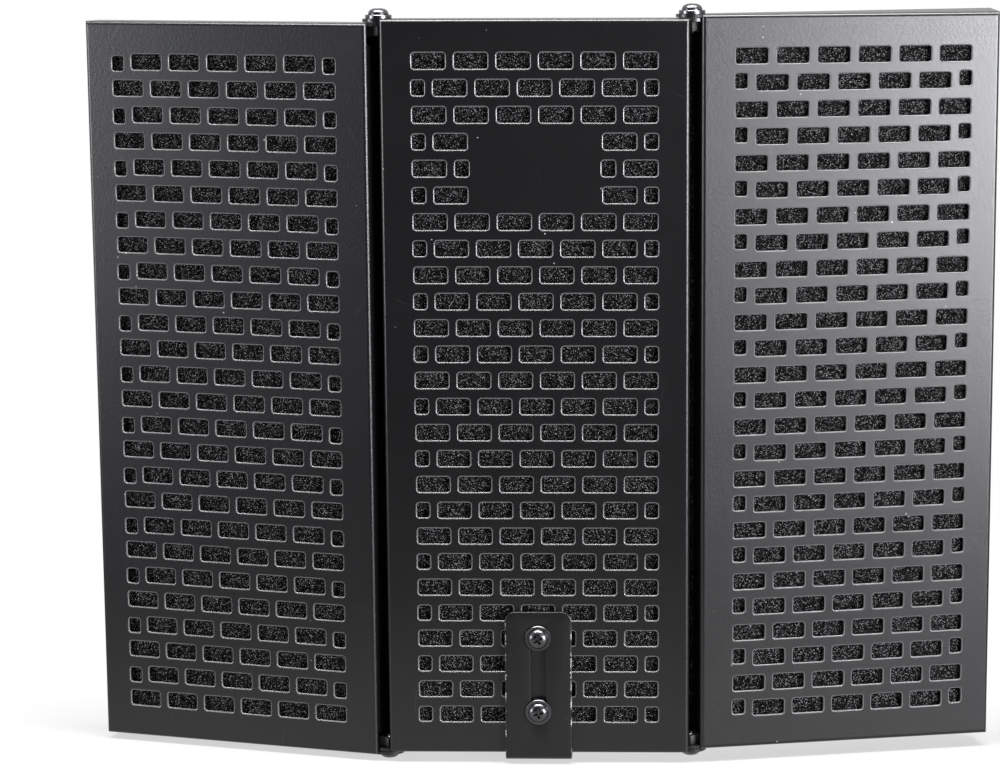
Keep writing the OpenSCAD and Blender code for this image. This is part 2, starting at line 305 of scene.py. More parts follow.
def makeCoatGroup():
    # powder coat: a fine orange peel, slow waves of the sheet and a patchy gloss
    group, start, end = newGroup(
        "powderCoat",
        {"Place": (vector, None), "Peel": (number, 0.5), "Wave": (number, 0.5)},
        {"Height": number, "Patch": number})
    where = start.outputs["Place"]
    peel, grit, wave, broad, small = (
        noise(group, where, *coatGrain[key])
        for key in ("peel", "grit", "wave", "broadPatch", "finePatch"))
    fine = math2(group, "ADD", math2(group, "MULTIPLY", peel, coatGrain["peelDepth"]),
                 math2(group, "MULTIPLY", grit, coatGrain["gritDepth"]))
    fine = math2(group, "MULTIPLY", fine, start.outputs["Peel"])
    slow = math2(group, "MULTIPLY", wave, start.outputs["Wave"])
    group.links.new(math2(group, "ADD", fine, slow), end.inputs["Height"])
    share = coatGrain["broadShare"]
    patch = math2(group, "ADD", math2(group, "MULTIPLY", broad, share),
                  math2(group, "MULTIPLY", small, 1 - share))
    group.links.new(patch, end.inputs["Patch"])
    return group


dustGrain = {
    "specks": 260,
    "speckEdge": (0.10, 0.05),
    "rare": 0.93,
    "clusters": (33, 2, 0.7),
    "clusterEdge": (0.45, 0.62),
    "drift": (14.0, 1.0),
    "driftBy": 0.02,
    "lines": 16,
    "lineEdge": (0.0030, 0.0012),
    "breaks": (55, 2, 0.6),
    "breakEdge": (0.60, 0.68),
}


def makeDustGroup():
    # small bright specks of dust and short hairline scratches
    group, start, end = newGroup(
        "dustAndScratches",
        {"Place": (vector, None), "Specks": (number, 0.5), "Scratches": (number, 0.5)},
        {"Mask": number})
    where = start.outputs["Place"]
    speck = cells(group, where, dustGrain["specks"])
    near = ramp(group, speck.outputs["Distance"], *dustGrain["speckEdge"])
    lucky = noise(group, where, *dustGrain["clusters"])
    pick = addNode(group, "SeparateColor")
    group.links.new(speck.outputs["Color"], pick.inputs[0])
    rare = math2(group, "GREATER_THAN", pick.outputs[0], dustGrain["rare"])
    specks = math2(group, "MULTIPLY", math2(group, "MULTIPLY", near, rare),
                   ramp(group, lucky, *dustGrain["clusterEdge"]))
    specks = math2(group, "MULTIPLY", specks, start.outputs["Specks"])
    bent = addNode(group, "VectorMath", {"operation": "ADD"})
    scale, detail = dustGrain["drift"]
    drift = addNode(group, "TexNoise", Scale=scale, Detail=detail)
    group.links.new(where, drift.inputs["Vector"])
    small = addNode(group, "VectorMath", {"operation": "SCALE"}, Scale=dustGrain["driftBy"])
    group.links.new(drift.outputs["Color"], small.inputs[0])
    group.links.new(where, bent.inputs[0])
    group.links.new(small.outputs[0], bent.inputs[1])
    line = cells(group, bent.outputs[0], dustGrain["lines"], "DISTANCE_TO_EDGE")
    thin = ramp(group, line.outputs["Distance"], *dustGrain["lineEdge"])
    broken = ramp(group, noise(group, where, *dustGrain["breaks"]), *dustGrain["breakEdge"])
    scratches = math2(group, "MULTIPLY", thin, broken)
    scratches = math2(group, "MULTIPLY", scratches, start.outputs["Scratches"])
    group.links.new(math2(group, "MAXIMUM", specks, scratches), end.inputs["Mask"])
    return group


foamGrain = {
    "coarse": (420, 3, 0.6),
    "coarseEdge": (0.25, 0.7),
    "strutEdge": (0.35, 0.8),
    "bright": (0.55, 1.0),        # which cells get a painted glint, and how much
    "brightEdge": (0.62, 0.30),
}


def makeFoamGroup():
    # open cells: struts between near-black pores; the pores' darkness is painted shade and the
    # bright cells are painted glints
    group, start, end = newGroup(
        "openCells",
        {"Place": (vector, None), "Cells": (number, 1500.0)},
        {"Height": number, "Strut": number, "Painted Glint": number})
    where = start.outputs["Place"]
    pore = cells(group, where, start.outputs["Cells"])
    coarse = noise(group, where, *foamGrain["coarse"])
    group.links.new(pore.outputs["Distance"], end.inputs["Height"])
    strut = ramp(group, pore.outputs["Distance"], *foamGrain["strutEdge"])
    patchy = ramp(group, coarse, *foamGrain["coarseEdge"])
    group.links.new(math2(group, "MULTIPLY", strut, patchy), end.inputs["Strut"])
    pick = addNode(group, "SeparateColor")
    group.links.new(pore.outputs["Color"], pick.inputs[0])
    bright = math2(group, "MULTIPLY", ramp(group, pick.outputs[0], *foamGrain["bright"]),
                   ramp(group, pore.outputs["Distance"], *foamGrain["brightEdge"]))
    group.links.new(bright, end.inputs["Painted Glint"])
    return group


wearGrain = {
    "ragged": (900, 3, 0.7),
    "reach": (0.0018, 0.00055),   # deepest chip from the edge, less what stays whole
    "edge": (-0.00005, 0.00008),
    "patches": (210, 2, 0.6),
    "patchEdge": (0.42, 0.62),
}


def makeWearGroup():
    # chips along the straight side edges of a strip, centred on x
    group, start, end = newGroup(
        "edgeChips",
        {"Place": (vector, None), "Half Width": (number, 0.0138), "Amount": (number, 0.5)},
        {"Mask": number})
    where = start.outputs["Place"]
    split = addNode(group, "SeparateXYZ")
    group.links.new(where, split.inputs[0])
    far = math2(group, "ABSOLUTE", split.outputs["X"], 0)
    fromEdge = math2(group, "SUBTRACT", start.outputs["Half Width"], far)
    deepest, whole = wearGrain["reach"]
    ragged = math2(group, "MULTIPLY", noise(group, where, *wearGrain["ragged"]), deepest)
    chip = math2(group, "SUBTRACT", math2(group, "SUBTRACT", ragged, whole), fromEdge)
    mask = ramp(group, chip, *wearGrain["edge"])
    patchy = ramp(group, noise(group, where, *wearGrain["patches"]), *wearGrain["patchEdge"])
    mask = math2(group, "MULTIPLY", mask, patchy)
    group.links.new(math2(group, "MULTIPLY", mask, start.outputs["Amount"]),
                    end.inputs["Mask"])
    return group


coatGroup = makeCoatGroup()
dustGroup = makeDustGroup()
foamGroup = makeFoamGroup()
wearGroup = makeWearGroup()


def useGroup(tree, group, where, **values):
    node = tree.nodes.new("ShaderNodeGroup")
    node.node_tree = group
    tree.links.new(where, node.inputs["Place"])
    for key, value in values.items():
        node.inputs[key.replace("_", " ")].default_value = value
    return node


def newMaterial(name, **sockets):
    material = bpy.data.materials.new(name)
    material.use_nodes = True
    tree = material.node_tree
    shader = tree.nodes["Principled BSDF"]
    for key, value in sockets.items():
        shader.inputs[key.replace("_", " ")].default_value = value
    where = tree.nodes.new("ShaderNodeTexCoord").outputs["Object"]
    return material, tree, shader, where


def mixColours(tree, mask, first, second):
    node = addNode(tree, "Mix", {"data_type": "RGBA"})
    for index, value in ((6, first), (7, second)):
        if isinstance(value, tuple):
            node.inputs[index].default_value = value
        else:
            tree.links.new(value, node.inputs[index])
    tree.links.new(mask, node.inputs[0])
    return node.outputs[2]


def scaled(tree, value, low, high):
    node = addNode(tree, "MapRange")
    node.inputs["To Min"].default_value = low
    node.inputs["To Max"].default_value = high
    tree.links.new(value, node.inputs["Value"])
    return node.outputs[0]


def addBump(tree, shader, height, distance, strength=1.0):
    node = addNode(tree, "Bump", Strength=strength, Distance=distance)
    tree.links.new(height, node.inputs["Height"])
    tree.links.new(node.outputs[0], shader.inputs["Normal"])


# ---- materials ----

coatLook = {
    "dark": (0.0024, 0.0025, 0.0028, 1),
    "light": (0.0042, 0.0044, 0.0048, 1),
    "dust": (0.42, 0.42, 0.43, 1),
    "roughness": (0.285, 0.345),
    # the rims' colours are the powder coat painted many times lighter than the panel's: a painted
    # highlight along the rolled hole edges
    "rimPaintedHighlightDark": (0.065, 0.065, 0.067, 1),
    "rimPaintedHighlightLight": (0.105, 0.105, 0.108, 1),
    "rimRoughness": (0.20, 0.30),
    "peel": 2.8,
    "wave": 0.05,
    "specks": 0.6,
    "scratches": 0.02,
    "bump": 0.001,
}


def panelCoat(name, dark, light, roughness):
    material, tree, shader, where = newMaterial(name, Specular_IOR_Level=0.5)
    coat = useGroup(tree, coatGroup, where, Peel=coatLook["peel"], Wave=coatLook["wave"])
    dust = useGroup(tree, dustGroup, where, Specks=coatLook["specks"],
                    Scratches=coatLook["scratches"])
    base = mixColours(tree, coat.outputs["Patch"], dark, light)
    colour = mixColours(tree, dust.outputs[0], base, coatLook["dust"])
    tree.links.new(colour, shader.inputs["Base Color"])
    tree.links.new(scaled(tree, coat.outputs["Patch"], *roughness),
                   shader.inputs["Roughness"])
    addBump(tree, shader, coat.outputs["Height"], coatLook["bump"])
    return material


bracketLook = {
    "dark": (0.0026, 0.0027, 0.0030, 1),
    "light": (0.0046, 0.0048, 0.0052, 1),
    "chip": (0.36, 0.36, 0.37, 1),
    "roughness": (0.30, 0.38),
    "peel": 1.8,
    "wave": 0.02,
    "specks": 0.8,
    "scratches": 0.03,
    "halfWidth": 0.01385,
    "chips": 0.9,
    "bump": 0.001,
}


def bracketCoat():
    material, tree, shader, where = newMaterial("bracketPowderCoat", Specular_IOR_Level=0.4)
    coat = useGroup(tree, coatGroup, where, Peel=bracketLook["peel"],
                    Wave=bracketLook["wave"])
    dust = useGroup(tree, dustGroup, where, Specks=bracketLook["specks"],
                    Scratches=bracketLook["scratches"])
    wear = useGroup(tree, wearGroup, where, Half_Width=bracketLook["halfWidth"],
                    Amount=bracketLook["chips"])
    base = mixColours(tree, coat.outputs["Patch"], bracketLook["dark"], bracketLook["light"])
    marks = math2(tree, "MAXIMUM", dust.outputs[0], wear.outputs[0])
    colour = mixColours(tree, marks, base, bracketLook["chip"])
    tree.links.new(colour, shader.inputs["Base Color"])
    tree.links.new(scaled(tree, coat.outputs["Patch"], *bracketLook["roughness"]),
                   shader.inputs["Roughness"])
    addBump(tree, shader, coat.outputs["Height"], bracketLook["bump"])
    return material


foamLook = {
    # the near-black pore colour is painted shade in the pores; the glint colour is painted
    # highlights on the struts
    "pore": (0.0004, 0.0004, 0.0004, 1),
    "strut": (0.017, 0.017, 0.0175, 1),
    "paintedGlint": (0.22, 0.22, 0.225, 1),
    "cells": 2250.0,
    "roughness": 0.8,
    "specular": 0.04,
    "bump": (0.0004, 0.9),    # depth and strength
}


def foamCells():
    material, tree, shader, where = newMaterial(
        "openCellFoam", Roughness=foamLook["roughness"],
        Specular_IOR_Level=foamLook["specular"])
    cell = useGroup(tree, foamGroup, where, Cells=foamLook["cells"])
    base = mixColours(tree, cell.outputs["Strut"], foamLook["pore"], foamLook["strut"])
    # painted glints on chosen cells
    colour = mixColours(tree, cell.outputs["Painted Glint"], base, foamLook["paintedGlint"])
    tree.links.new(colour, shader.inputs["Base Color"])
    addBump(tree, shader, cell.outputs["Height"], *foamLook["bump"])
    return material


platedLook = {
    # name: dark and light colour, range of roughness, metallic
    "blackZinc": ((0.07, 0.07, 0.074, 1), (0.13, 0.13, 0.135, 1), (0.22, 0.34), 1.0),
    # the nuts' zinc, painted near black and without metal: painted shade in place of the highlights
    # the nuts would catch in the hinge gaps
    "zincPaintedShade": ((0.006, 0.006, 0.0062, 1), (0.011, 0.011, 0.0115, 1), (0.50, 0.62), 0.0),
    "blackOxide": ((0.07, 0.07, 0.075, 1), (0.12, 0.12, 0.125, 1), (0.30, 0.45), 1.0),
}
platedGrain = {"peel": 0.15, "bump": (0.001, 0.6)}


def platedSteel(name):
    dark, light, roughness, metallic = platedLook[name]
    material, tree, shader, where = newMaterial(name, Metallic=metallic)
    coat = useGroup(tree, coatGroup, where, Peel=platedGrain["peel"], Wave=0.0)
    base = mixColours(tree, coat.outputs["Patch"], dark, light)
    tree.links.new(base, shader.inputs["Base Color"])
    tree.links.new(scaled(tree, coat.outputs["Patch"], *roughness), shader.inputs["Roughness"])
    addBump(tree, shader, coat.outputs["Height"], *platedGrain["bump"])
    return material


nylonLook = {
    "dark": (0.020, 0.020, 0.021, 1),
    "light": (0.032, 0.032, 0.033, 1),
    "roughness": 0.5,
    "peel": 0.3,
    "bump": 0.001,
}


def nylonSheet():
    material, tree, shader, where = newMaterial("blackNylon", Roughness=nylonLook["roughness"])
    coat = useGroup(tree, coatGroup, where, Peel=nylonLook["peel"], Wave=0.0)
    base = mixColours(tree, coat.outputs["Patch"], nylonLook["dark"], nylonLook["light"])
    tree.links.new(base, shader.inputs["Base Color"])
    addBump(tree, shader, coat.outputs["Height"], nylonLook["bump"])
    return material


finish = {
    "panel": panelCoat("panelPowderCoat", coatLook["dark"], coatLook["light"],
                       coatLook["roughness"]),
    # the rim finish: the same powder coat painted lighter, a painted highlight on the hole rims
    "rim": panelCoat("panelRimPaintedHighlight", coatLook["rimPaintedHighlightDark"], coatLook["rimPaintedHighlightLight"],
                     coatLook["rimRoughness"]),
    "bracket": bracketCoat(),
    "foam": foamCells(),
    "zinc": platedSteel("blackZinc"),
    # the nuts' finish is zinc painted dark, a painted shade
    "nut": platedSteel("zincPaintedShade"),
    "oxide": platedSteel("blackOxide"),
    "nylon": nylonSheet(),
}
print("materials ready")


# ---- mesh helpers, in millimetres ----

def addPiece(bm, name, looks, body, nodes, place=Matrix.Identity(4)):
    # looks: one finish, or several in the order of the faces' material numbers
    bmesh.ops.transform(bm, matrix=toMetres @ place, verts=bm.verts)
    mesh = bpy.data.meshes.new(name)
    bm.to_mesh(mesh)
    bm.free()
    for look in looks.split():
        mesh.materials.append(finish[look])
    piece = bpy.data.objects.new(name, mesh)
    bpy.context.scene.collection.objects.link(piece)
    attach(piece, body)
    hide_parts(*nodes)
    return piece


def facesOf(verts):
    return list({face for vert in verts for face in vert.link_faces})


def vertsIn(made):
    return [item for item in made["geom"] if isinstance(item, bmesh.types.BMVert)]


def roundOff(bm, edges, radius, segments, **settings):
    bmesh.ops.bevel(bm, geom=edges, offset=radius, segments=segments, profile=0.5,
                    affect="EDGES", material=-1, **settings)


def slicedAt(bm, place, normal, **settings):
    bmesh.ops.bisect_plane(bm, geom=bm.verts[:] + bm.edges[:] + bm.faces[:], plane_co=place,
                           plane_no=normal, dist=1e-4, **settings)


def filled(bm, edges, facing):
    # flat faces between loops of edges
    made = bmesh.ops.triangle_fill(bm, use_beauty=True, use_dissolve=False, edges=edges,
                                   normal=facing)
    return [item for item in made["geom"] if isinstance(item, bmesh.types.BMFace)]


def roundedFace(bm, x, z, wide, tall, corner, segments):
    # upright rectangle with round corners
    upright = Matrix.Translation((x, 0, z)) @ Matrix.Rotation(math.pi / 2, 4, "X")
    made = bmesh.ops.create_grid(bm, x_segments=1, y_segments=1, size=0.5,
                                 matrix=upright @ Matrix.Diagonal((wide, tall, 1, 1)))
    made = bmesh.ops.bevel(bm, geom=made["verts"], offset=corner, segments=segments,
                           profile=0.5, affect="VERTICES", material=-1)
    return made["faces"][0] if made["faces"] else made["verts"][0].link_faces[0]


def raised(bm, height, edge, sharpAngle):
    # fills the loops on z = 0, gives them a height and rounds the edges off
    faces = filled(bm, bm.edges[:], (0, 0, 1))
    made = bmesh.ops.extrude_face_region(bm, geom=faces, use_keep_orig=True)
    bmesh.ops.translate(bm, verts=vertsIn(made), vec=(0, 0, height))
    closeUp(bm)
    rims = [e for e in bm.edges if e.calc_face_angle(0) > sharpAngle
            and abs(e.verts[0].co.z - e.verts[1].co.z) < 0.01]
    roundOff(bm, rims, edge, 2)


def turned(bm, profile, segments=40):
    # spins (radius, height) points round z; points on the axis close the ends
    points = [bm.verts.new((radius, 0, height)) for radius, height in profile]
    edges = [bm.edges.new(pair) for pair in zip(points, points[1:])]
    bmesh.ops.spin(bm, geom=points + edges, cent=(0, 0, 0), axis=(0, 0, 1),
                   angle=2 * math.pi, steps=segments, use_merge=True)
    verts = [v for v in bm.verts if v.is_valid]
    bmesh.ops.remove_doubles(bm, verts=verts, dist=1e-4)


def closeUp(bm):
    bmesh.ops.remove_doubles(bm, verts=bm.verts, dist=1e-4)
    bmesh.ops.recalc_face_normals(bm, faces=bm.faces)
    bm.normal_update()


def smoothFaces(bm, sharpAngle=0.6):
    bm.normal_update()
    for face in bm.faces:
        face.smooth = True
    for edge in bm.edges:
        if len(edge.link_faces) == 2 and edge.calc_face_angle(0) > sharpAngle:
            edge.smooth = False


def copyInto(bm, mesh, matrix):
    before = len(bm.verts)
    bm.from_mesh(mesh)
    bm.verts.ensure_lookup_table()
    bmesh.ops.transform(bm, matrix=matrix, verts=bm.verts[before:])


def asMesh(bm, name):
    mesh = bpy.data.meshes.new(name)
    bm.to_mesh(mesh)
    bm.free()
    return mesh


# ---- places of the three panels ----

def lowMm(node):
    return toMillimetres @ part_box(node)[0]


def highMm(node):
    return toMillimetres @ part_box(node)[1]


def jointNamed(name):
    return next(joint for joint in frame["joints"] if joint["name"] == name)


panel = {
    "width": 125.5,
    "height": 304.8,
    "depth": 14.5,
    "sheet": 1.2,
    "bend": 1.6,
    "pivotDepth": 8.1,
    "centreReach": 0.75,
    "sideReach": 2.4,
    "foldLimit": 18,      # degrees from flat at the end of the inward travel
    "earRadius": 6.6,
    "holeRadius": 2.15,
    "notch": 9,           # height of the gap in a hinge wall for the ears
    "flare": 1.2,         # how far the loose end of one flange has sprung up
    "flareSpan": (-25, 62),
    "flangeBand": 2.5,    # height of the band that springs up
    "edge": 0.18,
    "strapHead": 4.2,     # radius of the heads that hold the bracket
}
halfPanel = panel["height"] / 2


def centrePlace():
    low, high = lowMm("centre_tray"), highMm("centre_tray")
    return Matrix.Translation((0, low.y, (low.z + high.z) / 2))


def sideWord(side):
    return "right" if side > 0 else "left"


def foldOf(side):
    # fold from flat, in degrees
    return panel["foldLimit"] - jointNamed(sideWord(side) + "_panel_fold")["range_deg"][1]


def sidePlace(side):
    joint = jointNamed(sideWord(side) + "_panel_fold")
    pivot = toMillimetres @ Vector(joint["pos_m"])
    low, high = lowMm(sideWord(side) + "_tray"), highMm(sideWord(side) + "_tray")
    fold = math.radians(foldOf(side))
    out = side * (panel["sideReach"] + panel["width"] / 2)
    return (Matrix.Translation((pivot.x, pivot.y, (low.z + high.z) / 2))
            @ Matrix.Rotation(side * fold, 4, "Z")
            @ Matrix.Translation((out, -panel["pivotDepth"], 0)))


# ---- perforated trays ----

brick = {
    "rows": 26,
    "pitchX": 17.17,
    "pitchZ": 10.86,
    "full": (13.4, 6.4),
    "half": (5.1, 6.1),
    "halfX": 47.3,
    "corner": 1.0,
    "rim": 0.5,          # radius of the rolled edge round each hole
    "sideShift": 0.9,
    "sideRise": 0.75,
    "plainField": (27, 77.05, 107.55),
    "strapField": (7, -152.4, -96.85),
}


def brickRow(row, rise):
    z = ((brick["rows"] - 1) / 2 - row) * brick["pitchZ"]
    wide, tall = brick["full"]
    if row % 2 == 0:
        return [((i - 2.5) * brick["pitchX"], z, wide, tall) for i in range(6)]
    holes = [((i - 2) * brick["pitchX"], z, wide, tall) for i in range(5)]
    for side in (-1, 1):
        holes.append((side * brick["halfX"], z + rise, *brick["half"]))
    return holes


def keepClear(holes, field):
    # takes the part of each hole inside |x| < reach away, between two heights
    reach, low, high = field
    kept = []
    for x, z, wide, tall in holes:
        outer = abs(x) + wide / 2
        inner = abs(x) - wide / 2
        if low < z < high and inner < reach:
            if outer > reach + 1:
                kept.append((math.copysign((outer + reach) / 2, x), z, outer - reach, tall))
        else:
            kept.append((x, z, wide, tall))
    return kept


def sideHoles():
    rows = [brickRow(row, brick["sideRise"]) for row in range(brick["rows"])]
    return [(x + brick["sideShift"], z, wide, tall) for row in rows for x, z, wide, tall in row]


def centreHoles():
    rows = [brickRow(row, 0) for row in range(brick["rows"])]
    holes = [hole for row in rows for hole in row]
    return keepClear(keepClear(holes, brick["plainField"]), brick["strapField"])


def boundaryEdges(bm):
    return [edge for edge in bm.edges if len(edge.link_faces) == 1]


def openBox(bm, width, height, near, far, radius, segments):
    # box that is open at the back, its front edges bent round
    size = Matrix.Diagonal((width, far - near, height, 1))
    made = bmesh.ops.create_cube(
        bm, size=1, matrix=Matrix.Translation((0, (near + far) / 2, 0)) @ size)
    faces = facesOf(made["verts"])
    back = max(faces, key=lambda face: face.calc_center_median().y)
    front = min(faces, key=lambda face: face.calc_center_median().y)
    bends = list(front.edges)
    bmesh.ops.delete(bm, geom=[back], context="FACES")
    roundOff(bm, bends, radius, segments)


def frontFace(bm, y):
    flat = [face for face in bm.faces if abs(face.calc_center_median().y - y) < 0.01]
    return max(flat, key=lambda face: face.calc_area())


def cutNotches(bm, side):
    # opens the hinge wall next to each ear, from the bend to the back
    half = panel["width"] / 2
    inside = half - panel["sheet"] - 0.1
    for end in (-1, 1):
        for level in (halfPanel - panel["notch"], halfPanel - panel["sheet"]):
            wall = [f for f in bm.faces if side * f.calc_center_median().x > inside]
            geom = {*wall, *(e for f in wall for e in f.edges), *(v for f in wall for v in f.verts)}
            bmesh.ops.bisect_plane(bm, geom=list(geom), dist=1e-4,
                                   plane_co=(0, 0, end * level), plane_no=(0, 0, 1))
    gone = []
    for face in bm.faces:
        middle = face.calc_center_median()
        inNotch = halfPanel - panel["notch"] < abs(middle.z) < halfPanel - panel["sheet"]
        if side * middle.x > inside and middle.y > panel["bend"] and inNotch:
            gone.append(face)
    bmesh.ops.delete(bm, geom=gone, context="FACES")


def punchHole(bm, hole, corner):
    # ring of faces down through the sheet; returns its front and back loops
    x, z, wide, tall = hole
    rim = brick["rim"]
    face = roundedFace(bm, x, z, wide + 2 * rim, tall + 2 * rim, corner + rim, 4)
    front = []
    for step in range(3):
        near, far = (math.radians(30 * (step + more)) for more in (0, 1))
        inward = rim * (math.sin(far) - math.sin(near))
        down = rim * (math.cos(near) - math.cos(far))
        ring = bmesh.ops.inset_region(bm, faces=[face], thickness=inward,
                                      use_boundary=True, use_even_offset=True)["faces"]
        bmesh.ops.translate(bm, verts=face.verts, vec=(0, down, 0))
        for item in ring:
            # the rolled rim takes the second finish, whose lighter colour is a painted highlight
            item.material_index = 1
        front = front or [e for f in ring for e in f.edges
                          if max(abs(v.co.y) for v in e.verts) < 0.01]
    deep = bmesh.ops.extrude_discrete_faces(bm, faces=[face])["faces"][0]
    bmesh.ops.translate(bm, verts=deep.verts, vec=(0, panel["sheet"] - rim, 0))
    back = list(deep.edges)
    bmesh.ops.delete(bm, geom=[deep], context="FACES_ONLY")
    return front, back


def fillSheet(bm, face, loops, facing):
    edges = list(face.edges) + [edge for loop in loops for edge in loop]
    bmesh.ops.delete(bm, geom=[face], context="FACES_ONLY")
    filled(bm, edges, (0, facing, 0))


def addEar(bm, xPivot, end):
    # flat round ear, from the wall out to the pivot, with the pivot's hole
    side = math.copysign(1, xPivot)
    half = panel["width"] / 2
    plate = bmesh.new()
    bmesh.ops.create_circle(plate, cap_ends=True, segments=48, radius=panel["earRadius"])
    slicedAt(plate, (0, 0, 0), (side, 0, 0), clear_inner=True)
    straight = min(plate.edges, key=lambda e: side * (e.verts[0].co.x + e.verts[1].co.x))
    made = bmesh.ops.extrude_edge_only(plate, edges=[straight])
    bmesh.ops.translate(plate, verts=vertsIn(made), vec=(side * half - xPivot, 0, 0))
    bmesh.ops.delete(plate, geom=plate.faces[:], context="FACES_ONLY")
    shared = [e for e in plate.edges if len(e.verts[0].link_edges) > 2
              and len(e.verts[1].link_edges) > 2]
    bmesh.ops.delete(plate, geom=shared, context="EDGES")
    bmesh.ops.create_circle(plate, cap_ends=False, segments=24, radius=panel["holeRadius"])
    filled(plate, plate.edges[:], (0, 0, 1))
    bmesh.ops.solidify(plate, geom=plate.faces[:], thickness=panel["sheet"])
    low = min(v.co.z for v in plate.verts)
    rise = end * (halfPanel - panel["sheet"] / 2) - panel["sheet"] / 2 - low
    bmesh.ops.translate(plate, verts=plate.verts, vec=(xPivot, panel["pivotDepth"], rise))
    bmesh.ops.recalc_face_normals(plate, faces=plate.faces)
    mesh = asMesh(plate, "ear")
    copyInto(bm, mesh, Matrix.Identity(4))
    bpy.data.meshes.remove(mesh)


def trayMesh(holes, roundHoles, hingeSides, reach):
    sheet, bend, depth = panel["sheet"], panel["bend"], panel["depth"]
    bm = bmesh.new()
    openBox(bm, panel["width"], panel["height"], 0, depth, bend, 8)
    openBox(bm, panel["width"] - 2 * sheet, panel["height"] - 2 * sheet, sheet, depth,
            bend - sheet, 4)
    for side in hingeSides:
        cutNotches(bm, side)
    rims = boundaryEdges(bm)
    bmesh.ops.bridge_loops(bm, edges=rims)
    roundOff(bm, rims, panel["edge"], 2, clamp_overlap=True)
    outerFace, innerFace = frontFace(bm, 0), frontFace(bm, sheet)
    loops = [punchHole(bm, hole, brick["corner"]) for hole in holes]
    loops += [punchHole(bm, hole, hole[2] / 2 - 0.01) for hole in roundHoles]
    fillSheet(bm, outerFace, [front for front, back in loops], -1)
    fillSheet(bm, innerFace, [back for front, back in loops], 1)
    closeUp(bm)
    for side in hingeSides:
        for end in (-1, 1):
            addEar(bm, side * (panel["width"] / 2 + reach), end)
    smoothFaces(bm)
    for face in bm.faces:
        if abs(face.normal.y) > 0.9999 or face.calc_area() > 60:
            face.smooth = False
    return bm


def springFlange(bm, amount):
    # the top flange has sprung up a little at its loose end
    start, end = panel["flareSpan"]
    for vert in bm.verts:
        if vert.co.z > halfPanel - panel["flangeBand"]:
            along = min(1, max(0, (vert.co.x - start) / (end - start)))
            back = min(1, max(0, vert.co.y / panel["depth"]))
            vert.co.z += amount * along * along * (3 - 2 * along) * back


def makeTrays():
    low, high = lowMm("bracket_screws"), highMm("bracket_screws")
    head, bore = panel["strapHead"], 2 * panel["holeRadius"]
    middle = centrePlace().translation.z
    screwHoles = [(0, level - middle, bore, bore)
                  for level in (low.z + head, high.z - head)]
    centre = trayMesh(centreHoles(), screwHoles, (-1, 1), panel["centreReach"])
    # the second finish, rim, is the coat with a painted highlight on the hole rims
    addPiece(centre, "centreTray", "panel rim", "centre_panel", ["centre_tray"],
             centrePlace())
    right = trayMesh(sideHoles(), [], (-1,), panel["sideReach"])
    springFlange(right, panel["flare"])
    addPiece(right, "rightTray", "panel rim", "right_panel", ["right_tray"],
             sidePlace(1))
    left = trayMesh(sideHoles(), [], (-1,), panel["sideReach"])
    halfTurn = Matrix.Rotation(math.pi, 4, "Y")
    addPiece(left, "leftTray", "panel rim", "left_panel", ["left_tray"],
             sidePlace(-1) @ halfTurn)


makeTrays()
print("trays ready")


# ---- foam pads ----

foam = {
    "gap": 0.3,
    "setBack": 1.3,       # the pad's front behind the sheet
    "back": 26.5,         # depth of the tips behind the perforated face
    "valley": 17.2,       # depth of the grooves between the pyramids
    "meet": 0.02,         # half the gap between two pads at a hinge
    "inset": 1.0,
    "across": 6,
    "up": 15,
    "steps": 8,           # grid steps over each pyramid
    "relief": (7.5, 9.0),
    "round": 0.35,
    "edge": 0.4,
    "fill": 0.95,
}


def padEdge(hinge, depth):
    # hinge: reach of the pivot and the fold in degrees; the two pads of a hinge touch
    half = panel["width"] / 2
    if hinge is None:
        return half - foam["inset"]
    reach, fold = hinge
    slope = (depth - panel["pivotDepth"]) * math.tan(math.radians(fold / 2))
    return half + reach - slope - foam["meet"]


def pyramidHeight(u, v):
    # u and v run from -1 to 1 over one pyramid; tip and groove are slightly round
    slope = 1 - max(abs(u), abs(v))
    soft = 0.5 - 0.5 * math.cos(math.pi * slope)
    return (1 - foam["round"]) * slope + foam["round"] * soft


